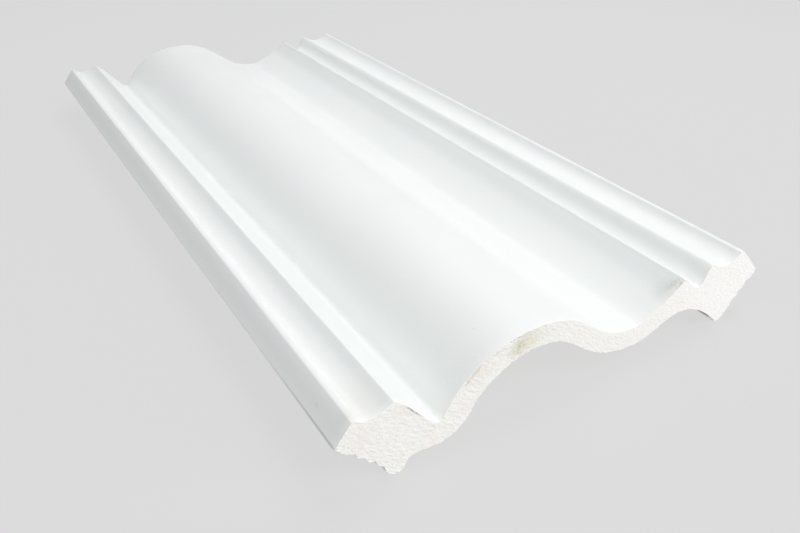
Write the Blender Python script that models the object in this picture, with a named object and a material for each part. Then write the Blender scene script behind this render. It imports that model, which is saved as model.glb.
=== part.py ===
"""A sawn length of cast plaster cornice, lying face up on its two keyed feet.

The section lies in XZ and runs along Y. X goes across the face, Z is up, and
the origin is on the bed under the middle of the piece. Lengths are in metres
and headings in degrees above +X. Left is the edge with one fillet and cove,
and right is the edge with the groove, the step and the second cove.
"""

import math
from collections import namedtuple

import bmesh
import bpy
from mathutils import Vector

# The piece as a whole
FACE_WIDTH = 0.220
LENGTH = 0.430
CROWN_HEIGHT = 0.0402
SHELL = 0.0099

# Two bearing faces, square to each other, for a wall and a ceiling
SPRING_ANGLE = 45.0
LEFT_CORNER_HEIGHT = 0.0234
RIGHT_CORNER_HEIGHT = 0.0215
FOOT_FLAT = 0.0026

# Keys for the adhesive: vees that run along both bearing faces
KEY_PITCH = 0.0055
KEY_DEPTH = 0.0010
LEFT_KEYS = 4
LEFT_KEY_MARGIN = 0.0049
RIGHT_KEYS = 3
RIGHT_KEY_MARGIN = 0.0052

# Left edge: a return, a fillet, a shallow cove, an arris and a flank
LEFT_RETURN = 0.0109
LEFT_RETURN_HEADING = 52.0
LEFT_FILLET = 0.0020
LEFT_COVE_WIDTH = 0.0140
LEFT_COVE_FALL = -52.0
LEFT_COVE_RISE = 30.0
LEFT_ARRIS_HEIGHT = 0.0334
LEFT_FLANK_WIDTH = 0.0183
LEFT_FLANK_START = -35.0
LEFT_FLANK_END = -41.0
LEFT_VALLEY_HEIGHT = 0.0148

# The ogee: a steep rise to the crown, a long fall and a second rise
RISE_WIDTH = 0.0427
RISE_HEADING = 60.0
RISE_START_PULL = 0.0165
RISE_END_PULL = 0.0215
FALL_START_PULL = 0.0298
FALL_END_PULL = 0.0286
RIGHT_VALLEY_HEIGHT = 0.0189
RIGHT_RISE_WIDTH = 0.0269
RIGHT_RISE_START_PULL = 0.0053
RIGHT_RISE_END_PULL = 0.0030
RIGHT_RISE_HEADING = 46.0

# Right edge: an arris, a groove, a step, a cove, a fillet and a return
RIGHT_ARRIS_HEIGHT = 0.0334
GROOVE_WIDTH = 0.0105
GROOVE_HEIGHT = 0.0247
STEP_WIDTH = 0.0069
STEP_HEIGHT = 0.0356
RIGHT_COVE_WIDTH = 0.0194
RIGHT_COVE_FALL = -36.0
RIGHT_COVE_RISE = 53.0
RIGHT_COVE_START_PULL = 0.0056
RIGHT_COVE_END_PULL = 0.0079
RIGHT_FILLET = 0.0018
RIGHT_RETURN = 0.0202
RIGHT_RETURN_HEADING = 135.0

# The back: a flat root under the left valley, then a shell that follows the ogee
ROOT_THICKNESS = 0.0099
LEFT_FOOT_INSIDE = 0.0026
BACK_FLANK_RUN = 0.0140
BACK_FLANK_RISE = 0.0086
BACK_FLANK_HEADING = 65.0
BACK_CROWN_PULL = 0.0098
GROOVE_THICKNESS = 0.0088
RIGHT_FOOT_HEADING = -43.0

# Roundings and the number of chords in curves and arcs
ARRIS_RADIUS = 0.0009
HOLLOW_RADIUS = 0.0018
CURVE_STEPS = 22
ARC_STEPS = 4

NODE = "plaster_cornice"
PLASTER_COLOUR = (0.86, 0.87, 0.86, 1.0)
PLASTER_ROUGHNESS = 0.55

Station = namedtuple("Station", "points arrive leave")


def direction(heading):
    """Unit vector at a heading."""
    return Vector((math.cos(math.radians(heading)), math.sin(math.radians(heading))))


def heading_of(start, end):
    """Heading of a straight run from one place to another."""
    return math.degrees(math.atan2(end.y - start.y, end.x - start.x))


def crest(place):
    """A smooth level station, such as a crown or the bottom of a valley."""
    return Station([place], 0.0, 0.0)


def corner(place, arrive, leave, radius):
    """A corner rounded by an arc that turns from one heading to the other."""
    turn = leave - arrive
    reach = abs(radius * math.tan(math.radians(turn) / 2))
    side = math.copysign(90.0, turn)
    centre = place - direction(arrive) * reach + direction(arrive + side) * radius
    points = []
    for step in range(ARC_STEPS + 1):
        points.append(centre + direction(arrive - side + turn * step / ARC_STEPS) * radius)
    return Station(points, arrive, leave)


def curve(before, after, start_pull=None, end_pull=None, inward=0.0):
    """Inner points of the cubic between two stations, moved inward along its normals."""
    start, end = before.points[-1], after.points[0]
    chord = (end - start).length
    first = start + direction(before.leave) * (start_pull or chord / 3)
    second = end - direction(after.arrive) * (end_pull or chord / 3)
    points = []
    for step in range(1, CURVE_STEPS):
        t = step / CURVE_STEPS
        s = 1.0 - t
        point = start * s**3 + first * 3 * s * s * t + second * 3 * s * t * t + end * t**3
        along = (first - start) * s * s + (second - first) * 2 * s * t + (end - second) * t * t
        along.normalize()
        points.append(point + Vector((along.y, -along.x)) * inward)
    return points


def keyed(start, end, margin, count):
    """Inner points of a bearing face whose vees begin at margin past its start."""
    along = (end - start).normalized()
    inward = Vector((along.y, -along.x))
    points = []
    for key in range(count):
        edge = start + along * (margin + key * KEY_PITCH)
        points += [edge, edge + along * (KEY_PITCH / 2) + inward * KEY_DEPTH]
    points.append(start + along * (margin + count * KEY_PITCH))
    return points


def places():
    """The named corners, crests and valleys of the section, from its widths and heights."""
    at = {}
    left_corner = Vector((-FACE_WIDTH / 2, LEFT_CORNER_HEIGHT))
    at["left_corner"] = left_corner
    at["left_edge"] = left_corner + direction(LEFT_RETURN_HEADING) * LEFT_RETURN
    at["left_fillet"] = at["left_edge"] + Vector((LEFT_FILLET, 0.0))
    at["left_arris"] = Vector((at["left_fillet"].x + LEFT_COVE_WIDTH, LEFT_ARRIS_HEIGHT))
    at["left_valley"] = Vector((at["left_arris"].x + LEFT_FLANK_WIDTH, LEFT_VALLEY_HEIGHT))
    at["crown"] = Vector((at["left_valley"].x + RISE_WIDTH, CROWN_HEIGHT))

    right_corner = Vector((FACE_WIDTH / 2, RIGHT_CORNER_HEIGHT))
    at["right_corner"] = right_corner
    at["right_edge"] = right_corner + direction(RIGHT_RETURN_HEADING) * RIGHT_RETURN
    at["right_fillet"] = at["right_edge"] - Vector((RIGHT_FILLET, 0.0))
    at["step"] = Vector((at["right_fillet"].x - RIGHT_COVE_WIDTH, STEP_HEIGHT))
    at["groove"] = Vector((at["step"].x - STEP_WIDTH, GROOVE_HEIGHT))
    at["right_arris"] = Vector((at["groove"].x - GROOVE_WIDTH, RIGHT_ARRIS_HEIGHT))
    at["right_valley"] = Vector((at["right_arris"].x - RIGHT_RISE_WIDTH, RIGHT_VALLEY_HEIGHT))

    left_reach = LEFT_CORNER_HEIGHT / math.tan(math.radians(SPRING_ANGLE))
    right_reach = RIGHT_CORNER_HEIGHT / math.tan(math.radians(90.0 - SPRING_ANGLE))
    at["left_foot"] = Vector((left_corner.x + left_reach, 0.0))
    at["right_foot"] = Vector((right_corner.x - right_reach, 0.0))
    return at


def face(at):
    """The moulded face from the left corner to the right corner."""
    left_edge = corner(at["left_edge"], LEFT_RETURN_HEADING, 0.0, ARRIS_RADIUS)
    left_fillet = corner(at["left_fillet"], 0.0, LEFT_COVE_FALL, ARRIS_RADIUS)
    left_arris = corner(at["left_arris"], LEFT_COVE_RISE, LEFT_FLANK_START, ARRIS_RADIUS)
    left_valley = corner(at["left_valley"], LEFT_FLANK_END, RISE_HEADING, HOLLOW_RADIUS)
    crown = crest(at["crown"])
    right_valley = crest(at["right_valley"])
    groove_fall = heading_of(at["right_arris"], at["groove"])
    groove_rise = heading_of(at["groove"], at["step"])
    right_arris = corner(at["right_arris"], RIGHT_RISE_HEADING, groove_fall, ARRIS_RADIUS)
    groove = corner(at["groove"], groove_fall, groove_rise, HOLLOW_RADIUS)
    step = corner(at["step"], groove_rise, RIGHT_COVE_FALL, ARRIS_RADIUS)
    right_fillet = corner(at["right_fillet"], RIGHT_COVE_RISE, 0.0, ARRIS_RADIUS)
    right_edge = corner(at["right_edge"], 0.0, RIGHT_RETURN_HEADING - 180.0, ARRIS_RADIUS)
    return (
        [at["left_corner"]]
        + left_edge.points
        + left_fillet.points
        + curve(left_fillet, left_arris)
        + left_arris.points
        + curve(left_arris, left_valley)
        + left_valley.points
        + curve(left_valley, crown, RISE_START_PULL, RISE_END_PULL)
        + crown.points
        + curve(crown, right_valley, FALL_START_PULL, FALL_END_PULL)
        + right_valley.points
        + curve(right_valley, right_arris, RIGHT_RISE_START_PULL, RIGHT_RISE_END_PULL)
        + right_arris.points
        + groove.points
        + step.points
        + curve(step, right_fillet, RIGHT_COVE_START_PULL, RIGHT_COVE_END_PULL)
        + right_fillet.points
        + right_edge.points
        + [at["right_corner"]]
    )


def back(at):
    """The hollow back from the left foot to the right foot."""
    root_height = LEFT_VALLEY_HEIGHT - ROOT_THICKNESS
    inner_left = at["left_foot"] + Vector((FOOT_FLAT, 0.0))
    inner_right = at["right_foot"] - Vector((FOOT_FLAT, 0.0))
    root_place = inner_left + Vector((LEFT_FOOT_INSIDE, root_height))
    root_start = corner(root_place, heading_of(inner_left, root_place), 0.0, HOLLOW_RADIUS)
    root_end = crest(Vector((at["left_valley"].x, root_height)))
    flank_place = root_end.points[0] + Vector((BACK_FLANK_RUN, BACK_FLANK_RISE))
    flank = Station([flank_place], BACK_FLANK_HEADING, BACK_FLANK_HEADING)
    below = Vector((0.0, -SHELL))
    crown = crest(at["crown"] + below)
    valley = crest(at["right_valley"] + below)
    hollow = crest(Vector((at["right_arris"].x, at["groove"].y - GROOVE_THICKNESS)))
    right_foot = Station([inner_right], RIGHT_FOOT_HEADING, 0.0)
    fall = curve(crest(at["crown"]), crest(at["right_valley"]), FALL_START_PULL, FALL_END_PULL, SHELL)
    return (
        [at["left_foot"], inner_left]
        + root_start.points
        + root_end.points
        + curve(root_end, flank)
        + flank.points
        + curve(flank, crown, None, BACK_CROWN_PULL)
        + crown.points
        + fall
        + valley.points
        + curve(valley, hollow)
        + hollow.points
        + curve(hollow, right_foot)
        + [inner_right, at["right_foot"]]
    )


def section():
    """The closed outline, clockwise: the face, a bearing face, the back, a bearing face."""
    at = places()
    right_keys = keyed(at["right_corner"], at["right_foot"], RIGHT_KEY_MARGIN, RIGHT_KEYS)
    left_keys = keyed(at["left_foot"], at["left_corner"], LEFT_KEY_MARGIN, LEFT_KEYS)
    return face(at) + right_keys + back(at)[::-1] + left_keys


def plaster():
    """White plaster with a smooth dry finish."""
    material = bpy.data.materials.new("white_plaster")
    material.use_nodes = True
    shader = material.node_tree.nodes["Principled BSDF"]
    shader.inputs["Base Color"].default_value = PLASTER_COLOUR
    shader.inputs["Roughness"].default_value = PLASTER_ROUGHNESS
    shader.inputs["Metallic"].default_value = 0.0
    return material


def cornice():
    """The section, extruded along Y to the sawn length."""
    mesh = bpy.data.meshes.new(NODE)
    shape = bmesh.new()
    ring = [shape.verts.new((point.x, -LENGTH / 2, point.y)) for point in section()]
    near_end = shape.faces.new(ring)
    grown = bmesh.ops.extrude_face_region(shape, geom=[near_end])
    far_end = [item for item in grown["geom"] if isinstance(item, bmesh.types.BMVert)]
    bmesh.ops.translate(shape, verts=far_end, vec=(0.0, LENGTH, 0.0))
    bmesh.ops.recalc_face_normals(shape, faces=shape.faces)
    shape.to_mesh(mesh)
    shape.free()
    mesh.materials.append(plaster())
    mesh.shade_smooth()
    mesh.set_sharp_from_angle(angle=math.radians(30.0))
    part = bpy.data.objects.new(NODE, mesh)
    bpy.context.scene.collection.objects.link(part)
    return part


def main():
    for old in list(bpy.data.objects):
        bpy.data.objects.remove(old, do_unlink=True)
    cornice()


main()
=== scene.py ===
"""Looks of a sawn length of cast plaster cornice.

One closed piece: the smooth cast face, the rough keyed back and two raw sawn ends.
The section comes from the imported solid. Lengths are in metres and headings in degrees.
"""

import math

import bmesh
import bpy
import numpy as np
from mathutils import Matrix, Vector
from mathutils.geometry import delaunay_2d_cdt
from mathutils.kdtree import KDTree


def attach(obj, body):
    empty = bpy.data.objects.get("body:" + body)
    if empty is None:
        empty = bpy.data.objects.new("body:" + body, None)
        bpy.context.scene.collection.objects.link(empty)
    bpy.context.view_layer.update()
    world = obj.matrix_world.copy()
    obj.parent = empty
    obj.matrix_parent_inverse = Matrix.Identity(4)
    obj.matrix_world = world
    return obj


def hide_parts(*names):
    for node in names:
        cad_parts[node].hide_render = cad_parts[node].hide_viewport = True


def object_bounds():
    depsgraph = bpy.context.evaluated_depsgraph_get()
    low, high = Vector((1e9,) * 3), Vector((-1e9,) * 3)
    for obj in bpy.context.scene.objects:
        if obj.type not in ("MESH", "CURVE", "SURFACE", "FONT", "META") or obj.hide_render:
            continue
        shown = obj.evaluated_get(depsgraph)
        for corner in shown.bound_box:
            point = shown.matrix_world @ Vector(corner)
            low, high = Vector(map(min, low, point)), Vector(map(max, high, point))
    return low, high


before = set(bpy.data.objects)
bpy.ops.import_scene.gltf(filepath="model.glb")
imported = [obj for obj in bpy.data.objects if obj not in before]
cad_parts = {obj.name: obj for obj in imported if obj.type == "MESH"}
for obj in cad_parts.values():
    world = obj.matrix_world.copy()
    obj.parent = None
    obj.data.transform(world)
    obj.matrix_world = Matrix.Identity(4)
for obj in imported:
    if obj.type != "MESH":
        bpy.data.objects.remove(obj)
cad_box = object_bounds()

NODE = "plaster_cornice"
NEAR_END = cad_box[0].y
LENGTH = cad_box[1].y - cad_box[0].y

# Outline of the section: how finely it is divided, and where it stays sharp
FACE_STEP = 0.0008
KEY_STEP = 0.0005
SMOOTH_TURN = 28.0

# How close points are that count as one, that lie on a plane, that share a corner, and that weld
SAME_POINT = 1e-6
ON_PLANE = 1e-5
SAME_CORNER = 1e-9
WELD_DISTANCE = 0.000005

# Sawn ends: spacing of the relief, which is finer on the near end, and its seed
NEAR_GRAIN = 0.00038
FAR_GRAIN = 0.00055
GRAIN_SEED = 7

# Shares of the spacing: how far the grid is shaken, and its room beside the rim and the cracks
GRID_SHAKE = 0.2
RIM_ROOM = 0.5
CRACK_ROOM = 0.6

# Marks along the rim to each spacing, from which a point's distance to the rim is measured
MARKS_A_SPACING = 4

# Rings along the length, and the turn past which an edge is drawn sharp
RINGS = 48
SHARP_EDGE = 55.0

# Cracks where the cast skin has lifted: from x, to x, depth below the face at each end, half width
SKIN_CRACKS = (
    (-0.0440, -0.0225, 0.00080, 0.00095, 0.00026),
    (-0.0492, -0.0398, 0.00070, 0.00300, 0.00026),
    (-0.0838, -0.0752, 0.00078, 0.00070, 0.00046),
)

# How far a crack wanders, in how many parts of its length it opens, and its share of width at the tip
CRACK_WANDER = 0.00012
CRACK_TAPER = 3.0
CRACK_TIP = 0.4

# The keys stand a little fuller by the left foot: place, reach, how far down the slope
FULL_FOOT = ((-0.0905, 0.0022), 0.0068, 0.0015)

# The arris of the step is worn round: place, reach, rounds of smoothing
WORN_ARRIS = ((0.0745, 0.0352), 0.0026, 10)


def section_corners(node):
    """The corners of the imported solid's near end, from the left corner over the face and round."""
    shape = bmesh.new()
    shape.from_mesh(node.data)
    bmesh.ops.remove_doubles(shape, verts=shape.verts, dist=SAME_POINT)
    near = {v for v in shape.verts if v.co.y < NEAR_END + ON_PLANE}
    beside = {v: [] for v in near}
    for edge in shape.edges:
        a, b = edge.verts
        side_faces = [f for f in edge.link_faces if f.calc_center_median().y > NEAR_END + ON_PLANE]
        if a in near and b in near and side_faces:
            beside[a].append(b)
            beside[b].append(a)
    first = min(near, key=lambda v: v.co.x)
    loop = [first, max(beside[first], key=lambda v: v.co.z)]
    while True:
        onward = [v for v in beside[loop[-1]] if v is not loop[-2]][0]
        if onward is first:
            break
        loop.append(onward)
    corners = [Vector((v.co.x, v.co.z)) for v in loop]
    shape.free()
    return corners


def tangent(before, after):
    """Direction of the curve where two chords meet, nearer to the shorter chord's."""
    return (before.normalized() * after.length + after.normalized() * before.length).normalized()


def is_smooth(before, after):
    """Whether the outline runs on smoothly from one chord to the next."""
    return before.angle(after) < math.radians(SMOOTH_TURN)


def curve_shares(t):
    """Shares of the start, its direction, the end and its direction, at t along a cubic curve."""
    return (2 * t**3 - 3 * t**2 + 1, t**3 - 2 * t**2 + t, -2 * t**3 + 3 * t**2, t**3 - t**2)


def fuller_foot(places):
    """The outline with its keys fuller by the left foot, where they still rest on the floor."""
    middle, reach, extra = FULL_FOOT
    swell = extra * np.clip(1.0 - np.linalg.norm(places - middle, axis=1) / reach, 0.0, 1.0)
    fuller = places - swell[:, None] * math.sqrt(0.5)
    fuller[:, 1] = np.maximum(fuller[:, 1], 0.0)
    return fuller


def worn_arris(places):
    """The outline with the arris of the step worn round."""
    middle, reach, rounds = WORN_ARRIS
    worn = np.linalg.norm(places - middle, axis=1) < reach
    for _ in range(rounds):
        averaged = (np.roll(places, 1, axis=0) + 2 * places + np.roll(places, -1, axis=0)) / 4
        places = np.where(worn[:, None], averaged, places)
    return places


def section_outline(corners):
    """Smooth outline through the corners: places, outward directions, what is back, what is keyed."""
    count = len(corners)
    right = max(range(count), key=lambda i: corners[i].x)
    feet = [i for i in range(count) if corners[i].y < ON_PLANE]
    chords = [corners[(i + 1) % count] - corners[i] for i in range(count)]
    places, backed, keyed = [], [], []
    for i, chord in enumerate(chords):
        before, after = chords[i - 1], chords[(i + 1) % count]
        start = tangent(before, chord) if is_smooth(before, chord) else chord.normalized()
        end = tangent(chord, after) if is_smooth(chord, after) else chord.normalized()
        steps = max(1, math.ceil(chord.length / (FACE_STEP if i < right else KEY_STEP)))
        for step in range(steps):
            from_start, start_pull, from_end, end_pull = curve_shares(step / steps)
            places.append(corners[i] * from_start + start * (start_pull * chord.length)
                          + corners[(i + 1) % count] * from_end + end * (end_pull * chord.length))
            backed.append(0.0 if i < right else 1.0)
            keyed.append(1.0 if right < i < feet[0] - 1 or i > feet[-1] + 1 else 0.0)
    places = np.array([tuple(p) for p in places])
    along = np.roll(places, -1, axis=0) - np.roll(places, 1, axis=0)
    outward = np.stack([-along[:, 1], along[:, 0]], axis=1)
    outward /= np.linalg.norm(outward, axis=1)[:, None]
    return worn_arris(fuller_foot(places)), outward, np.array(backed), np.array(keyed)


def mesh_of(name, places, y, edges=(), faces=(), **layers):
    """A helper object in the plane of constant y, with a point attribute for each layer."""
    mesh = bpy.data.meshes.new(name)
    mesh.from_pydata([(x, y, z) for x, z in places], list(edges), list(faces))
    for layer, values in layers.items():
        kind = "FLOAT_VECTOR" if values.ndim == 2 else "FLOAT"
        field = "vector" if values.ndim == 2 else "value"
        attribute = mesh.attributes.new(layer, kind, "POINT")
        attribute.data.foreach_set(field, values.astype(np.float32).ravel())
    helper = bpy.data.objects.new(name, mesh)
    bpy.context.scene.collection.objects.link(helper)
    return helper


def rows_inside(outline, spacing):
    """Places on a triangular grid inside the outline, shaken a little so that no row shows."""
    random = np.random.default_rng(GRAIN_SEED)
    following = np.roll(outline, -1, axis=0)
    heights = np.arange(outline[:, 1].min(), outline[:, 1].max(), spacing * math.sqrt(3) / 2)
    places = []
    for row, z in enumerate(heights):
        crossed = (outline[:, 1] > z) != (following[:, 1] > z)
        a, b = outline[crossed], following[crossed]
        crossings = np.sort(a[:, 0] + (z - a[:, 1]) / (b[:, 1] - a[:, 1]) * (b[:, 0] - a[:, 0]))
        for left, right in crossings.reshape(-1, 2):
            first = math.ceil(left / spacing - (row % 2) / 2)
            xs = (np.arange(first, right / spacing - (row % 2) / 2) + (row % 2) / 2) * spacing
            places.append(np.stack([xs, np.full(len(xs), z)], axis=1))
    places = np.concatenate(places)
    return places + random.uniform(-GRID_SHAKE, GRID_SHAKE, places.shape) * spacing


def nearness(marks):
    """A function that gives each place's distance to the nearest of the marks."""
    tree = KDTree(len(marks))
    for i, (x, z) in enumerate(marks):
        tree.insert((x, z, 0.0), i)
    tree.balance()
    return lambda places: np.array([tree.find((x, z, 0.0))[2] for x, z in places])


def along_outline(outline, spacing):
    """Marks along the closed outline, no further apart than spacing."""
    marks = []
    for place, following in zip(outline, np.roll(outline, -1, axis=0)):
        steps = max(1, math.ceil(np.hypot(*(following - place)) / spacing))
        marks += [place + (following - place) * step / steps for step in range(steps)]
    return np.array(marks)


def crack_rows(outline, outward):
    """Points along each skin crack: one row down its middle and one along each lip."""
    random = np.random.default_rng(GRAIN_SEED)
    points, opened = [], []
    face = range(int(outline[:, 0].argmax()))
    for begin, end, first_depth, last_depth, half_width in SKIN_CRACKS:
        run = [i for i in face if begin < outline[i, 0] < end]
        for k, i in enumerate(run):
            taper = min(1.0, CRACK_TAPER * min(k + 0.5, len(run) - k - 0.5) / len(run))
            width = half_width * (CRACK_TIP + (1.0 - CRACK_TIP) * taper)
            depth = first_depth + (last_depth - first_depth) * k / len(run)
            depth += random.uniform(-CRACK_WANDER, CRACK_WANDER)
            for side in (-1, 0, 1):
                points.append(outline[i] - outward[i] * (depth + side * width))
                opened.append(taper if side == 0 else 0.0)
    return np.array(points).reshape(-1, 2), np.array(opened)


def sawn_end(name, y, spacing, outline, outward, layers, cracked):
    """A flat sawn end filled with small triangles, whose edge is the outline's own points."""
    to_rim = nearness(along_outline(outline, spacing / MARKS_A_SPACING))
    grid = rows_inside(outline, spacing)
    grid = grid[to_rim(grid) > RIM_ROOM * spacing]
    rows, opened = crack_rows(outline, outward) if cracked else (np.zeros((0, 2)), np.zeros(0))
    if cracked:
        grid = grid[nearness(rows)(grid) > CRACK_ROOM * spacing]
    count = len(outline)
    points = [Vector(p) for p in np.concatenate([outline, rows, grid])]
    edges = [(i, (i + 1) % count) for i in range(count)]
    coordinates, _, faces, sources, _, _ = delaunay_2d_cdt(points, edges, [], 1, SAME_CORNER)
    places = np.array([tuple(p) for p in coordinates])
    sources = np.array([source[0] for source in sources])
    on_rim = sources < count
    rim = np.where(on_rim, 0.0, to_rim(places))
    crack = np.zeros(len(places))
    on_crack = (sources >= count) & (sources < count + len(rows))
    crack[on_crack] = opened[sources[on_crack] - count]
    own = {"rim": rim, "crack": crack}
    for layer, values in layers.items():
        own[layer] = np.zeros((len(places), *values.shape[1:]))
        own[layer][on_rim] = values[sources[on_rim]]
    if y > 0:
        faces = [face[::-1] for face in faces]
    end = mesh_of(name, places, y, faces=faces, **own)
    flag = end.data.attributes.new("is_end", "BOOLEAN", "FACE")
    flag.data.foreach_set("value", [True] * len(faces))
    return end


def add(tree, kind, inputs=None, **settings):
    """A node with its settings, fed by input name or number from values or other sockets."""
    node = tree.nodes.new(kind)
    for name, value in settings.items():
        setattr(node, name, value)
    for name, value in (inputs or {}).items():
        if isinstance(value, bpy.types.NodeSocket):
            tree.links.new(value, node.inputs[name])
        else:
            node.inputs[name].default_value = value
    return node


def calc(tree, operation, *values):
    """The result of a Math node on values or sockets."""
    return add(tree, "ShaderNodeMath", dict(enumerate(values)), operation=operation).outputs[0]


def vector_calc(tree, operation, *values):
    """The vector result of a Vector Math node on values or sockets."""
    return add(tree, "ShaderNodeVectorMath", dict(enumerate(values)), operation=operation).outputs[0]


def noise(tree, where, scale, detail=2.0, roughness=0.5):
    """Noise about zero, from about minus a half to a half."""
    inputs = {"Vector": where, "Scale": scale, "Detail": detail, "Roughness": roughness}
    field = add(tree, "ShaderNodeTexNoise", inputs)
    return calc(tree, "SUBTRACT", field.outputs[0], 0.5)


def sized_noise(tree, where, size, height, detail=2.0, roughness=0.5):
    """Noise about zero with lumps of a size and a height, both of which may be sockets."""
    field = noise(tree, where, calc(tree, "DIVIDE", 1.0, size), detail, roughness)
    return calc(tree, "MULTIPLY", field, height)


def ramp(tree, value, low, high, start=0.0, end=1.0):
    """A smooth step from start at low to end at high."""
    inputs = {"Value": value, "From Min": low, "From Max": high, "To Min": start, "To Max": end}
    return add(tree, "ShaderNodeMapRange", inputs, interpolation_type="SMOOTHSTEP").outputs[0]


# Heading of the saw marks, the share of their depth on the right, and from and to where it falls
SAW_TURN = -31.0
SAW_BITE = 0.35
BITE_FROM = -0.070
BITE_TO = 0.060

# Inputs of the node tree: kind of socket, value
CORNICE_INPUTS = {
    "Length": ("NodeSocketFloat", LENGTH),
    "Rings": ("NodeSocketInt", RINGS),
    "Points Round": ("NodeSocketInt", 100),
    "Near End": ("NodeSocketObject", None),
    "Far End": ("NodeSocketObject", None),
    "Face Waviness": ("NodeSocketFloat", 0.00022),
    "Face Wave Length": ("NodeSocketFloat", 0.070),
    "Back Roughness": ("NodeSocketFloat", 0.00060),
    "Back Lump Size": ("NodeSocketFloat", 0.006),
    "Key Raggedness": ("NodeSocketFloat", 0.0011),
    "Key Rag Size": ("NodeSocketFloat", 0.0021),
    "Saw Mark Height": ("NodeSocketFloat", 0.00060),
    "Saw Mark Length": ("NodeSocketFloat", 0.0030),
    "Saw Mark Pitch": ("NodeSocketFloat", 0.0011),
    "Saw Mark Reach": ("NodeSocketFloat", 0.0030),
    "Saw Angle": ("NodeSocketFloat", math.radians(SAW_TURN)),
    "Saw Bite": ("NodeSocketFloat", SAW_BITE),
    "Bite From": ("NodeSocketFloat", BITE_FROM),
    "Bite To": ("NodeSocketFloat", BITE_TO),
    "Crumb Height": ("NodeSocketFloat", 0.00022),
    "Crumb Size": ("NodeSocketFloat", 0.0010),
    "Worn Edge": ("NodeSocketFloat", 0.00050),
    "Worn Edge Size": ("NodeSocketFloat", 0.0014),
    "Worn Edge Reach": ("NodeSocketFloat", 0.0014),
    "Back Chipping": ("NodeSocketFloat", 1.2),
    "Crack Depth": ("NodeSocketFloat", 0.0005),
    "Weld Distance": ("NodeSocketFloat", WELD_DISTANCE),
    "Seed": ("NodeSocketFloat", 3.0),
    "Face": ("NodeSocketMaterial", None),
    "Back": ("NodeSocketMaterial", None),
    "Sawn": ("NodeSocketMaterial", None),
}


def stored(tree, name, kind="FLOAT"):
    """A value stored on the mesh, inside Geometry Nodes."""
    return add(tree, "GeometryNodeInputNamedAttribute", {"Name": name}, data_type=kind).outputs[0]


def swept_skin(tree, section, given):
    """A grid bent round the section and run along Y, with rings that crowd towards the saw cuts."""
    around = calc(tree, "ADD", given["Points Round"], 1.0)
    grid = add(tree, "GeometryNodeMeshGrid", {"Vertices X": around, "Vertices Y": given["Rings"]})
    index = add(tree, "GeometryNodeInputIndex").outputs[0]
    point = calc(tree, "FLOOR", calc(tree, "DIVIDE", calc(tree, "ADD", index, 0.5), given["Rings"]))
    ring = calc(tree, "SUBTRACT", index, calc(tree, "MULTIPLY", point, given["Rings"]))
    point = calc(tree, "FLOORED_MODULO", point, given["Points Round"])
    share = calc(tree, "DIVIDE", ring, calc(tree, "SUBTRACT", given["Rings"], 1.0))
    crowded = calc(tree, "COSINE", calc(tree, "MULTIPLY", share, math.pi))
    y = calc(tree, "MULTIPLY", calc(tree, "MULTIPLY", given["Length"], -0.5), crowded)

    def sampled(value, kind):
        inputs = {"Geometry": section, "Value": value, "Index": point}
        return add(tree, "GeometryNodeSampleIndex", inputs, data_type=kind, domain="POINT").outputs[0]

    position = add(tree, "GeometryNodeInputPosition").outputs[0]
    x, _, z = add(tree, "ShaderNodeSeparateXYZ", {0: sampled(position, "FLOAT_VECTOR")}).outputs
    place = add(tree, "ShaderNodeCombineXYZ", {"X": x, "Y": y, "Z": z}).outputs[0]
    layers = {"outward": "FLOAT_VECTOR", "backed": "FLOAT", "keyed": "FLOAT"}
    geometry = grid.outputs["Mesh"]
    for name, kind in layers.items():
        inputs = {"Geometry": geometry, "Name": name, "Value": sampled(stored(tree, name, kind), kind)}
        geometry = add(tree, "GeometryNodeStoreNamedAttribute", inputs,
                       data_type=kind, domain="POINT").outputs[0]
    return add(tree, "GeometryNodeSetPosition", {"Geometry": geometry, "Position": place}).outputs[0]


def turned(tree, position, angle):
    """Place on the sawn end: along the saw marks, through the piece, across the marks."""
    x, y, z = add(tree, "ShaderNodeSeparateXYZ", {0: position}).outputs
    cosine = calc(tree, "COSINE", angle)
    sine = calc(tree, "SINE", angle)
    along = calc(tree, "ADD", calc(tree, "MULTIPLY", x, cosine), calc(tree, "MULTIPLY", z, sine))
    across = calc(tree, "SUBTRACT", calc(tree, "MULTIPLY", z, cosine), calc(tree, "MULTIPLY", x, sine))
    return along, y, across


def skin_relief(tree, seeded, at_rim, given):
    """Outward move of a point: waves of the face, lumps of the back, ragged keys, worn edges."""
    backed = stored(tree, "backed")
    waves = sized_noise(tree, seeded, given["Face Wave Length"], given["Face Waviness"])
    lumps = sized_noise(tree, seeded, given["Back Lump Size"], given["Back Roughness"], 3.0)
    rags = sized_noise(tree, seeded, given["Key Rag Size"], given["Key Raggedness"], 3.0)
    half_worn = calc(tree, "MULTIPLY", given["Worn Edge"], 0.5)
    worn = sized_noise(tree, seeded, given["Worn Edge Size"], given["Worn Edge"], 3.0)
    worn = calc(tree, "MULTIPLY", calc(tree, "ADD", worn, half_worn), at_rim)
    chipped = calc(tree, "ADD", calc(tree, "MULTIPLY", backed, given["Back Chipping"]), 1.0)
    worn = calc(tree, "MULTIPLY", worn, chipped)
    out = calc(tree, "ADD", waves, calc(tree, "MULTIPLY", lumps, backed))
    out = calc(tree, "ADD", out, calc(tree, "MULTIPLY", rags, stored(tree, "keyed")))
    return calc(tree, "SUBTRACT", out, worn)


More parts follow.
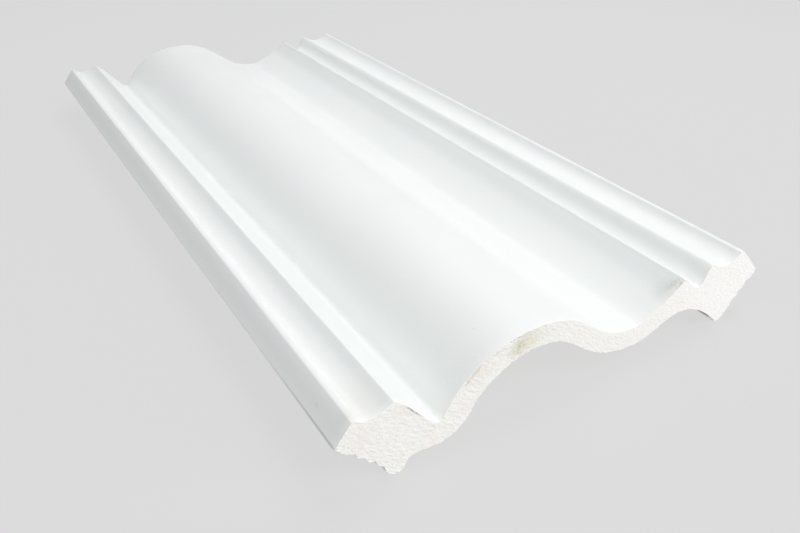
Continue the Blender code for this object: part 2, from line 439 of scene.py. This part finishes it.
def sawn_relief(tree, seeded, own_x, given):
    """How far a point of a sawn end stands out: saw marks and crumbs, less the open cracks."""
    along, y, across = turned(tree, seeded, given["Saw Angle"])
    marks_at = add(tree, "ShaderNodeCombineXYZ", {
        "X": calc(tree, "DIVIDE", along, given["Saw Mark Length"]),
        "Y": y,
        "Z": calc(tree, "DIVIDE", across, given["Saw Mark Pitch"])}).outputs[0]
    marks = calc(tree, "MULTIPLY", noise(tree, marks_at, 1.0, 1.0), given["Saw Mark Height"])
    bite = ramp(tree, own_x, given["Bite From"], given["Bite To"], 1.0, given["Saw Bite"])
    crumbs = sized_noise(tree, seeded, given["Crumb Size"], given["Crumb Height"], 2.0, 0.6)
    rough = calc(tree, "MULTIPLY", calc(tree, "ADD", marks, crumbs), bite)
    opened = calc(tree, "MULTIPLY", stored(tree, "crack"), given["Crack Depth"])
    return calc(tree, "SUBTRACT", rough, opened)


def relief(tree, geometry, given):
    """Moves every point of the joined mesh by its own part of the relief."""
    position = add(tree, "GeometryNodeInputPosition").outputs[0]
    seed = add(tree, "ShaderNodeCombineXYZ", {"Y": given["Seed"]}).outputs[0]
    seeded = vector_calc(tree, "ADD", position, seed)
    x, y, _ = add(tree, "ShaderNodeSeparateXYZ", {0: position}).outputs
    half = calc(tree, "MULTIPLY", given["Length"], 0.5)
    from_end = calc(tree, "SUBTRACT", half, calc(tree, "ABSOLUTE", y))
    at_end = ramp(tree, from_end, 0.0, given["Saw Mark Reach"], 1.0, 0.0)
    at_rim = ramp(tree, from_end, 0.0, given["Worn Edge Reach"], 1.0, 0.0)
    sideways = add(tree, "ShaderNodeVectorMath", {
        0: stored(tree, "outward", "FLOAT_VECTOR"),
        "Scale": skin_relief(tree, seeded, at_rim, given)}, operation="SCALE").outputs[0]
    outwards = calc(tree, "MULTIPLY", calc(tree, "SIGN", y), at_end)
    raised = calc(tree, "MULTIPLY", sawn_relief(tree, seeded, x, given), outwards)
    endways = add(tree, "ShaderNodeCombineXYZ", {"Y": raised}).outputs[0]
    offset = vector_calc(tree, "ADD", sideways, endways)
    return add(tree, "GeometryNodeSetPosition", {"Geometry": geometry, "Offset": offset}).outputs[0]


def cornice_tree():
    """The whole length: a swept skin joined to its sawn ends, with relief and materials."""
    tree = bpy.data.node_groups.new("cornice_length", "GeometryNodeTree")
    tree.interface.new_socket(name="Section", in_out="INPUT", socket_type="NodeSocketGeometry")
    for name, (kind, value) in CORNICE_INPUTS.items():
        socket = tree.interface.new_socket(name=name, in_out="INPUT", socket_type=kind)
        if value is not None:
            socket.default_value = value
    tree.interface.new_socket(name="Cornice", in_out="OUTPUT", socket_type="NodeSocketGeometry")
    given = tree.nodes.new("NodeGroupInput").outputs
    skin = swept_skin(tree, given["Section"], given)
    joined = add(tree, "GeometryNodeJoinGeometry")
    for name in ("Near End", "Far End"):
        end = add(tree, "GeometryNodeObjectInfo", {"Object": given[name]}).outputs["Geometry"]
        tree.links.new(end, joined.inputs[0])
    tree.links.new(skin, joined.inputs[0])
    merged = add(tree, "GeometryNodeMergeByDistance",
                 {"Geometry": joined.outputs[0], "Distance": given["Weld Distance"]}).outputs[0]
    shaped = relief(tree, merged, given)
    smooth = add(tree, "GeometryNodeSetShadeSmooth", {"Geometry": shaped}).outputs[0]
    result = add(tree, "GeometryNodeRealizeInstances", {"Geometry": smooth}).outputs[0]
    chosen = {
        "Face": calc(tree, "LESS_THAN", stored(tree, "backed"), 0.5),
        "Back": calc(tree, "GREATER_THAN", stored(tree, "backed"), 0.5),
        "Sawn": stored(tree, "is_end", "BOOLEAN"),
    }
    for name, selection in chosen.items():
        inputs = {"Geometry": result, "Selection": selection, "Material": given[name]}
        result = add(tree, "GeometryNodeSetMaterial", inputs).outputs[0]
    tree.links.new(result, tree.nodes.new("NodeGroupOutput").inputs[0])
    return tree


# Specular level of plaster, and the colour sockets of the Mix node
SHEEN = 0.35
FIRST_COLOUR = 6
SECOND_COLOUR = 7
MIXED_COLOUR = 2


def principled(name, colour, roughness):
    """A material with a Principled shader, and the Object coordinates to feed it."""
    material = bpy.data.materials.new(name)
    material.use_nodes = True
    tree = material.node_tree
    shader = tree.nodes["Principled BSDF"]
    shader.inputs["Base Color"].default_value = (*colour, 1.0)
    shader.inputs["Roughness"].default_value = roughness
    shader.inputs["Specular IOR Level"].default_value = SHEEN
    where = add(tree, "ShaderNodeTexCoord").outputs["Object"]
    return material, tree, shader, where


def mixed(tree, share, first, second):
    """Colour between first and second."""
    node = add(tree, "ShaderNodeMix", {"Factor": share}, data_type="RGBA")
    for number, value in ((FIRST_COLOUR, first), (SECOND_COLOUR, second)):
        if isinstance(value, bpy.types.NodeSocket):
            tree.links.new(value, node.inputs[number])
        else:
            node.inputs[number].default_value = (*value, 1.0)
    return node.outputs[MIXED_COLOUR]


# How far out a spot is whole, as a share of its reach: of the painted shadow on the back, and of a soft
# stain
FIRM_EDGE = 0.3
SOFT_EDGE = 0.1


def spot(tree, where, place, reach, turn, edge):
    """1 in the middle of an ellipsoid at place, 0 outside its reach. It is turned about Y."""
    inputs = {"Vector": where, "Location": place, "Scale": reach,
              "Rotation": (0.0, -math.radians(turn), 0.0)}
    mapped = add(tree, "ShaderNodeMapping", inputs, vector_type="TEXTURE")
    away = add(tree, "ShaderNodeVectorMath", {0: mapped.outputs[0]}, operation="LENGTH")
    return ramp(tree, away.outputs["Value"], edge, 1.0, 1.0, 0.0)


def stretched(tree, where, turn, length, pitch):
    """Coordinates for noise whose grains are long in one direction across the section."""
    inputs = {"Vector": where, "Scale": (length, pitch, pitch),
              "Rotation": (0.0, -math.radians(turn), 0.0)}
    return add(tree, "ShaderNodeMapping", inputs, vector_type="TEXTURE").outputs[0]


def layer_of(tree, name):
    """A value stored on the mesh, inside a material."""
    return add(tree, "ShaderNodeAttribute", attribute_name=name).outputs["Fac"]


def clouded(tree, where, grain, detail, first, second):
    """A colour that drifts between two."""
    cloud = calc(tree, "ADD", noise(tree, where, grain, detail), 0.5)
    return mixed(tree, cloud, first, second)


def stained(tree, colour, share, strength, tint):
    """The colour with a tint laid over it."""
    return mixed(tree, calc(tree, "MULTIPLY", share, strength), colour, tint)


def shaded(tree, colour, value, low, high, strength, tint, shown=None):
    """The colour with a tint that grows while the value runs from low to high, where it is shown."""
    share = ramp(tree, value, low, high, 0.0, strength)
    if shown is not None:
        share = calc(tree, "MULTIPLY", share, shown)
    return mixed(tree, share, colour, tint)


def bump(tree, height, strength, distance, **inputs):
    """A normal that rises and falls with the height."""
    given = {"Strength": strength, "Distance": distance, "Height": height, **inputs}
    return add(tree, "ShaderNodeBump", given).outputs[0]


# Cast face: colour on the whole, the two whites that it drifts between, its grain in lumps a metre
CAST_WHITE = (0.94, 0.96, 0.95)
CAST_CLOUDS = ((0.928, 0.952, 0.946), (0.950, 0.968, 0.962))
CAST_GRAIN = {"cloud": 18.0, "gloss": 60.0, "dust": 260.0, "bump": 900.0, "specks": 1300.0}

# Roughness of the cast face: on the whole, smoothest, dullest and under dust
CAST_ROUGHNESS = 0.42
CAST_SMOOTHEST = 0.36
CAST_DULLEST = 0.52
DUSTY_ROUGHNESS = 0.85

# Level of the noise at which the roughness is reached, and strength and distance of the bump
GLOSS_LEVEL = 0.3
CAST_BUMP = (0.25, 0.0002)

# Plaster dust on the cast face beside the saw cuts: reach, how ragged it ends, strength, colour
DUST_REACH = 0.0042
DUST_RAGGEDNESS = 1.6
DUST_STRENGTH = 0.60
DUST = (0.945, 0.938, 0.912)

# Painted shade in a thin dark line along the left edge: where it starts and ends inwards, and how it fades
# from the cut
EDGE_LINE = (0.0002, 0.0007)
EDGE_LINE_FADED_AT = -0.150
EDGE_LINE_FADED = 0.15
EDGE_LINE_STRENGTH = 0.60
EDGE_SHADE_COLOUR = (0.40, 0.41, 0.40)

# Marks on the cast face: what it is, place, reach, strength, colour, and how speckled it is
FACE_MARKS = (
    ("wide grime", (0.0500, -0.2130, 0.0285), (0.0110, 0.0110, 0.0085), 0.50, (0.66, 0.69, 0.67), 0.10),
    ("dark grime", (0.0530, -0.2140, 0.0305), (0.0065, 0.0055, 0.0055), 0.75, (0.42, 0.43, 0.40), 0.75),
    ("dot of grime", (0.0551, -0.2143, 0.0317), (0.0010, 0.0012, 0.0010), 0.90, (0.12, 0.12, 0.11), 0.0),
    ("cream dust", (-0.0960, -0.2090, 0.0275), (0.0115, 0.0240, 0.0110), 0.55, (0.905, 0.890, 0.862), 0.0),
    ("olive dust", (-0.1028, -0.2125, 0.0312), (0.0050, 0.0080, 0.0050), 0.32, (0.80, 0.79, 0.71), 0.1),
    ("dimple", (-0.1068, -0.1965, 0.0272), (0.0011, 0.0020, 0.0016), 0.22, (0.52, 0.53, 0.52), 0.3),
    ("speck", (-0.0445, -0.2000, 0.0371), (0.0007, 0.0009, 0.0008), 0.30, (0.55, 0.56, 0.54), 0.0),
)

# Painted shade: bands of the cast face that are a little greyer along the whole length: middle x, reach,
# strength
SHADE_BANDS = (
    (0.0525, 0.0090, 0.50),
    (-0.0895, 0.0040, 0.34),
    (-0.1065, 0.0050, 0.34),
)
PAINTED_SHADE_GREY = (0.79, 0.82, 0.815)

# Level of the noise at which a speck of grime is whole
WHOLE_SPECK = 0.14


def cast_face():
    """Smooth white cast plaster with a soft sheen, dusty next to the saw cuts, with painted shade in grey
    bands along its length and in a thin line along the left edge.
    """
    material, tree, shader, where = principled("cast_plaster_face", CAST_WHITE, CAST_ROUGHNESS)
    colour = clouded(tree, where, CAST_GRAIN["cloud"], 3.0, *CAST_CLOUDS)
    x, y, _ = add(tree, "ShaderNodeSeparateXYZ", {0: where}).outputs
    # Painted shade: grey bands along the whole length
    for middle, reach, strength in SHADE_BANDS:
        away = calc(tree, "ABSOLUTE", calc(tree, "SUBTRACT", x, middle))
        colour = stained(tree, colour, ramp(tree, away, 0.0, reach, 1.0, 0.0), strength, PAINTED_SHADE_GREY)
    specks = ramp(tree, noise(tree, where, CAST_GRAIN["specks"], 2.0), 0.0, WHOLE_SPECK)
    for _, place, reach, strength, tint, speckled in FACE_MARKS:
        shown = calc(tree, "ADD", calc(tree, "MULTIPLY", specks, speckled), 1.0 - speckled)
        share = calc(tree, "MULTIPLY", spot(tree, where, place, reach, 0.0, SOFT_EDGE), shown)
        colour = stained(tree, colour, share, strength, tint)
    from_cut = calc(tree, "SUBTRACT", LENGTH / 2, calc(tree, "ABSOLUTE", y))
    ragged = noise(tree, where, CAST_GRAIN["dust"], 3.0)
    uneven = calc(tree, "MULTIPLY", ragged, DUST_REACH * DUST_RAGGEDNESS)
    dust = ramp(tree, calc(tree, "ADD", from_cut, uneven), 0.0, DUST_REACH, 1.0, 0.0)
    colour = stained(tree, colour, dust, DUST_STRENGTH, DUST)
    # Painted shade along the lower left edge
    inner, outer = (cad_box[0].x + inwards for inwards in EDGE_LINE)
    line = ramp(tree, x, inner, outer, 1.0, 0.0)
    faded = ramp(tree, y, NEAR_END, EDGE_LINE_FADED_AT, 1.0, EDGE_LINE_FADED)
    line = calc(tree, "MULTIPLY", line, faded)
    colour = stained(tree, colour, line, EDGE_LINE_STRENGTH, EDGE_SHADE_COLOUR)
    tree.links.new(colour, shader.inputs["Base Color"])
    sheen = noise(tree, where, CAST_GRAIN["gloss"], 3.0)
    rough = ramp(tree, sheen, -GLOSS_LEVEL, GLOSS_LEVEL, CAST_SMOOTHEST, CAST_DULLEST)
    tree.links.new(ramp(tree, dust, 0.0, 1.0, rough, DUSTY_ROUGHNESS), shader.inputs["Roughness"])
    grain = bump(tree, noise(tree, where, CAST_GRAIN["bump"], 3.0), *CAST_BUMP)
    tree.links.new(grain, shader.inputs["Normal"])
    return material


# Back: colour on the whole, roughness, the two shades that it drifts between, lumps a metre, bump
BACK_PLASTER = (0.86, 0.85, 0.82)
BACK_ROUGHNESS = 0.85
BACK_CLOUDS = ((0.815, 0.805, 0.770), (0.895, 0.888, 0.868))
BACK_GRAIN = {"cloud": 45.0, "pits": 620.0, "bump": 700.0}
BACK_BUMP = (0.6, 0.0005)

# Pits of the back: levels of the noise between which they darken, strength, colour
BACK_PITS = (0.08, 0.22, 0.35, (0.62, 0.60, 0.54))

# Painted shadow inside the right foot, next to the near cut: place, reach, strength, colour
BACK_PAINTED_SHADOW = ((0.0785, -0.2130, 0.0062), (0.0080, 0.0140, 0.0065), 0.85, (0.16, 0.16, 0.15))


def rough_back():
    """Uncoated plaster of the back and the keyed bearing faces, with a painted shadow inside the right
    foot by the near cut.
    """
    material, tree, shader, where = principled("rough_plaster_back", BACK_PLASTER, BACK_ROUGHNESS)
    colour = clouded(tree, where, BACK_GRAIN["cloud"], 4.0, *BACK_CLOUDS)
    colour = shaded(tree, colour, noise(tree, where, BACK_GRAIN["pits"], 3.0), *BACK_PITS)
    # Painted shadow inside the right foot, next to the near cut
    place, reach, strength, tint = BACK_PAINTED_SHADOW
    colour = stained(tree, colour, spot(tree, where, place, reach, 0.0, FIRM_EDGE), strength, tint)
    tree.links.new(colour, shader.inputs["Base Color"])
    lumps = bump(tree, noise(tree, where, BACK_GRAIN["bump"], 4.0), *BACK_BUMP)
    tree.links.new(lumps, shader.inputs["Normal"])
    return material


# Sawn ends: colour on the whole, roughness, the two shades that they drift between, lumps a metre
SAWN_PLASTER = (0.94, 0.93, 0.90)
SAWN_ROUGHNESS = 0.9
SAWN_CLOUDS = ((0.912, 0.901, 0.862), (0.947, 0.937, 0.908))
SAWN_GRAIN = {"cloud": 90.0, "tint": 170.0, "pits": 1250.0, "bump": 1400.0}

# Bump of the sawn ends, strength and distance: of the saw marks, and of the finest grain
SAW_BUMP = (0.55, 0.0008)
FINE_BUMP = (0.5, 0.0004)

# Tints of the sawn ends, painted light to the right, and painted shade in the hollows of the saw marks and
# in the cracks: levels between which they grow, strength, colour
PINK_TINT = (0.04, 0.16, 0.30, (0.93, 0.865, 0.84))
GREEN_TINT = (-0.04, -0.16, 0.35, (0.905, 0.915, 0.860))
PAINTED_LIGHT_RIGHT = (0.010, 0.085, 0.85, (0.985, 0.970, 0.955))
SAW_HOLLOW_SHADE = (-0.03, -0.20, 0.26, (0.76, 0.745, 0.69))
SAWN_PITS = (0.08, 0.20, 0.18, (0.70, 0.67, 0.58))
PAINTED_CRACK_SHADE = (0.10, 0.85, 0.85, (0.36, 0.27, 0.16))

# Share of the painted shade in the hollows and of the pits' colour that shows on the right
COLOUR_BITE = 0.21

# Grain along the saw marks: length, pitch
SAW_STREAKS = (0.0021, 0.00075)

# Streaks that break up the stains: heading, length and pitch, levels, share of a stain that they break
STAIN_STREAKS = (32.0, 0.0017, 0.0008)
STREAK_LEVELS = (-0.16, 0.14)
BROKEN_SHARE = 0.75

# White rim of cast skin round the sawn ends: width, share of it that is whole, strength, colour
RIM_WIDTH = 0.0008
RIM_WHOLE = 0.4
RIM_STRENGTH = 0.70
RIM_WHITE = (0.965, 0.968, 0.958)

# Stains on the near sawn end: what it is, x and z, reach in x and z, heading, strength, colour
SAWN_MARKS = (
    ("wide olive stain", (-0.0290, 0.0360), (0.0150, 0.0085), 12.0, 0.50, (0.74, 0.70, 0.56)),
    ("olive stain", (-0.0332, 0.0348), (0.0088, 0.0064), 24.0, 0.48, (0.66, 0.63, 0.45)),
    ("olive core", (-0.0347, 0.0343), (0.0062, 0.0050), 30.0, 0.42, (0.52, 0.50, 0.34)),
    ("olive edge of the back", (-0.0352, 0.0325), (0.0030, 0.0026), 20.0, 0.40, (0.64, 0.63, 0.45)),
    ("warm grain on the rise", (-0.0500, 0.0305), (0.0140, 0.0070), 40.0, 0.34, (0.82, 0.76, 0.66)),
    ("peach on the rise", (-0.0545, 0.0288), (0.0095, 0.0040), 42.0, 0.28, (0.84, 0.78, 0.67)),
    ("peach under the arris", (-0.0825, 0.0272), (0.0105, 0.0042), -28.0, 0.44, (0.87, 0.79, 0.68)),
    ("pink by the return", (-0.1000, 0.0235), (0.0058, 0.0090), 0.0, 0.34, (0.88, 0.79, 0.76)),
    ("brown line on the rise", (-0.0545, 0.0306), (0.0075, 0.0014), 44.0, 0.52, (0.58, 0.53, 0.40)),
    ("brown fleck", (-0.0530, 0.0318), (0.0017, 0.0011), 45.0, 0.48, (0.44, 0.37, 0.26)),
    ("long brown fleck", (-0.0575, 0.0277), (0.0021, 0.0012), 48.0, 0.62, (0.44, 0.35, 0.22)),
    ("dot by the skin", (-0.0226, 0.0398), (0.0008, 0.0007), 0.0, 0.75, (0.30, 0.29, 0.26)),
    ("pale yellow by the groove", (0.0568, 0.0218), (0.0080, 0.0065), 0.0, 0.40, (0.93, 0.90, 0.79)),
    ("pale pink by the step", (0.0760, 0.0290), (0.0065, 0.0055), 0.0, 0.34, (0.95, 0.88, 0.86)),
    ("cream above the right foot", (0.0860, 0.0250), (0.0130, 0.0090), -30.0, 0.34, (0.96, 0.925, 0.86)),
    ("fleck by the right return", (0.0983, 0.0290), (0.0012, 0.0008), -35.0, 0.30, (0.60, 0.56, 0.48)),
)

# How far the stains reach into the piece
STAIN_DEPTH = 0.02


def sawn_face():
    """Raw sawn plaster, warm and dull, with its stains and its white rim; painted shade darkens its cracks
    brown and the hollows of its saw marks, and painted light makes it paler to the right.
    """
    material, tree, shader, where = principled("sawn_plaster", SAWN_PLASTER, SAWN_ROUGHNESS)
    colour = clouded(tree, where, SAWN_GRAIN["cloud"], 4.0, *SAWN_CLOUDS)
    own_x = add(tree, "ShaderNodeSeparateXYZ", {0: where}).outputs[0]
    bite = ramp(tree, own_x, BITE_FROM, BITE_TO, 1.0, COLOUR_BITE)
    drift = noise(tree, where, SAWN_GRAIN["tint"], 1.0)
    colour = shaded(tree, colour, drift, *PINK_TINT)
    colour = shaded(tree, colour, drift, *GREEN_TINT)
    # Painted light: the sawn ends grow paler towards the right
    colour = shaded(tree, colour, own_x, *PAINTED_LIGHT_RIGHT)
    grain = noise(tree, stretched(tree, where, SAW_TURN, *SAW_STREAKS), 1.0, 3.0, 0.55)
    # Darker in the hollows of the saw marks: painted shade, with some dust in them
    colour = shaded(tree, colour, grain, *SAW_HOLLOW_SHADE, bite)
    pits = noise(tree, where, SAWN_GRAIN["pits"], 2.0)
    colour = shaded(tree, colour, pits, *SAWN_PITS, bite)
    rim = ramp(tree, layer_of(tree, "rim"), RIM_WIDTH * RIM_WHOLE, RIM_WIDTH, RIM_STRENGTH, 0.0)
    colour = mixed(tree, rim, colour, RIM_WHITE)
    streaks = noise(tree, stretched(tree, where, *STAIN_STREAKS), 1.0, 3.0)
    streaks = calc(tree, "MULTIPLY", ramp(tree, streaks, *STREAK_LEVELS), BROKEN_SHARE)
    broken = calc(tree, "ADD", streaks, 1.0 - BROKEN_SHARE)
    for _, (x, z), (wide, high), turn, strength, tint in SAWN_MARKS:
        inside = spot(tree, where, (x, NEAR_END, z), (wide, STAIN_DEPTH, high), turn, SOFT_EDGE)
        colour = stained(tree, colour, calc(tree, "MULTIPLY", inside, broken), strength, tint)
    # Painted shade: brown inside the skin cracks
    colour = shaded(tree, colour, layer_of(tree, "crack"), *PAINTED_CRACK_SHADE)
    tree.links.new(colour, shader.inputs["Base Color"])
    coarse = bump(tree, grain, *SAW_BUMP)
    fine = bump(tree, noise(tree, where, SAWN_GRAIN["bump"], 3.0), *FINE_BUMP, Normal=coarse)
    tree.links.new(fine, shader.inputs["Normal"])
    return material


def keep_used_materials(mesh):
    """Drops the empty slot that the grid brings, so that slot numbers match the materials."""
    numbers = np.zeros(len(mesh.polygons), np.int32)
    mesh.polygons.foreach_get("material_index", numbers)
    materials = list(mesh.materials)
    used = [i for i in range(len(materials)) if materials[i] is not None and (numbers == i).any()]
    mesh.materials.clear()
    for i in used:
        mesh.materials.append(materials[i])
    mesh.polygons.foreach_set("material_index", np.searchsorted(used, numbers).astype(np.int32))


def cornice_piece():
    """The finished length as one plain mesh."""
    outline, outward, backed, keyed = section_outline(section_corners(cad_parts[NODE]))
    flat = np.stack([outward[:, 0], np.zeros(len(outward)), outward[:, 1]], axis=1)
    layers = {"outward": flat, "backed": backed, "keyed": keyed}
    section = mesh_of("cornice_section", outline, 0.0, **layers)
    near = sawn_end("near_end", NEAR_END, NEAR_GRAIN, outline, outward, layers, True)
    far = sawn_end("far_end", NEAR_END + LENGTH, FAR_GRAIN, outline, outward, layers, False)
    modifier = section.modifiers.new("cornice_length", "NODES")
    modifier.node_group = cornice_tree()
    given = {"Points Round": len(outline), "Near End": near, "Far End": far,
             "Face": cast_face(), "Back": rough_back(), "Sawn": sawn_face()}
    for socket in modifier.node_group.interface.items_tree:
        if socket.in_out == "INPUT" and socket.name in given:
            modifier[socket.identifier] = given[socket.name]
    bpy.context.view_layer.update()
    evaluated = section.evaluated_get(bpy.context.evaluated_depsgraph_get())
    mesh = bpy.data.meshes.new_from_object(evaluated)
    mesh.set_sharp_from_angle(angle=math.radians(SHARP_EDGE))
    keep_used_materials(mesh)
    for helper in (section, near, far):
        bpy.data.objects.remove(helper)
    mesh.name = "cornice_length"
    piece = bpy.data.objects.new("cornice_length", mesh)
    bpy.context.scene.collection.objects.link(piece)
    return piece


# Softboxes: name, place, side, power. They point at a place in the middle of the moulding.
SOFTBOXES = (
    ("front_high_softbox", (0.3, -2.2, 2.8), 1.6, 38.8),
    ("front_low_softbox", (0.3, -3.0, 0.9), 1.6, 14.0),
    ("right_softbox", (2.0, -2.4, 0.9), 1.2, 24.6),
    ("left_high_softbox", (-2.6, -0.3, 2.4), 1.6, 17.9),
    ("close_overhead_softbox", (0.30, 0.0, 0.95), 0.5, 2.64),
    ("close_back_right_softbox", (0.55, 0.45, 0.80), 0.5, 1.37),
)
LIT_PLACE = (0.0, 0.0, 0.02)

# Floor, which glows a little so that it stays pale and even, and the light all round
FLOOR_REACH = 6.0
FLOOR_GREY = (0.11, 0.11, 0.11)
FLOOR_ROUGHNESS = 1.0
FLOOR_GLOW = 0.612
ROOM_COLOUR = (0.98, 1.0, 1.0, 1.0)
ROOM_LIGHT = 0.24


def soft_light(name, place, size, power):
    """A square softbox that points at the lit place."""
    data = bpy.data.lights.new(name, "AREA")
    data.shape = "SQUARE"
    data.size = size
    data.energy = power
    light = bpy.data.objects.new(name, data)
    light.location = place
    light.rotation_euler = (Vector(LIT_PLACE) - Vector(place)).to_track_quat("-Z", "Y").to_euler()
    bpy.context.scene.collection.objects.link(light)


def studio():
    """Pale floor, softboxes in front, above and on both sides, and an even light all round."""
    floor = bpy.data.objects.new("studio_floor", bpy.data.meshes.new("studio_floor"))
    corners = [(x * FLOOR_REACH, y * FLOOR_REACH, 0) for x, y in ((-1, -1), (1, -1), (1, 1), (-1, 1))]
    floor.data.from_pydata(corners, [], [(0, 1, 2, 3)])
    material, _, shader, _ = principled("studio_floor", FLOOR_GREY, FLOOR_ROUGHNESS)
    shader.inputs["Specular IOR Level"].default_value = 0.0
    shader.inputs["Emission Color"].default_value = (1.0, 1.0, 1.0, 1.0)
    shader.inputs["Emission Strength"].default_value = FLOOR_GLOW
    floor.data.materials.append(material)
    bpy.context.scene.collection.objects.link(floor)
    for softbox in SOFTBOXES:
        soft_light(*softbox)
    world = bpy.data.worlds.new("studio")
    bpy.context.scene.world = world
    world.use_nodes = True
    background = world.node_tree.nodes["Background"]
    background.inputs["Color"].default_value = ROOM_COLOUR
    background.inputs["Strength"].default_value = ROOM_LIGHT
    bpy.context.scene.view_settings.view_transform = "Standard"


# Camera solved from the photograph's vanishing lines, with its lens and sensor in millimetres
CAMERA_PLACE = (-0.1837, -0.3845, 0.2047)
CAMERA_RIGHT = (0.81433, -0.57894, 0.04122)
CAMERA_UP = (0.25445, 0.41994, 0.87115)
LENS = 34.288
SENSOR = 36.0
NEAR_CLIP = 0.02

# Pixels by which the photograph is cropped off centre, right and up, and its width in pixels
CROP_RIGHT = -75.0
CROP_UP = -26.5
FRAME_WIDTH = 800.0


def photo_camera():
    """The photograph's view. The small shift is the photograph's own crop."""
    data = bpy.data.cameras.new("photo_camera")
    data.sensor_width = SENSOR
    data.lens = LENS
    data.shift_x = CROP_RIGHT / FRAME_WIDTH
    data.shift_y = CROP_UP / FRAME_WIDTH
    data.clip_start = NEAR_CLIP
    camera = bpy.data.objects.new("photo_camera", data)
    right = Vector(CAMERA_RIGHT).normalized()
    up = Vector(CAMERA_UP)
    back = right.cross(up).normalized()
    up = back.cross(right)
    turn = Matrix((right, up, back)).transposed().to_4x4()
    camera.matrix_world = Matrix.Translation(CAMERA_PLACE) @ turn
    bpy.context.scene.collection.objects.link(camera)
    bpy.context.scene.camera = camera


photo_camera()
studio()
cornice = cornice_piece()
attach(cornice, "root")
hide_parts(NODE)
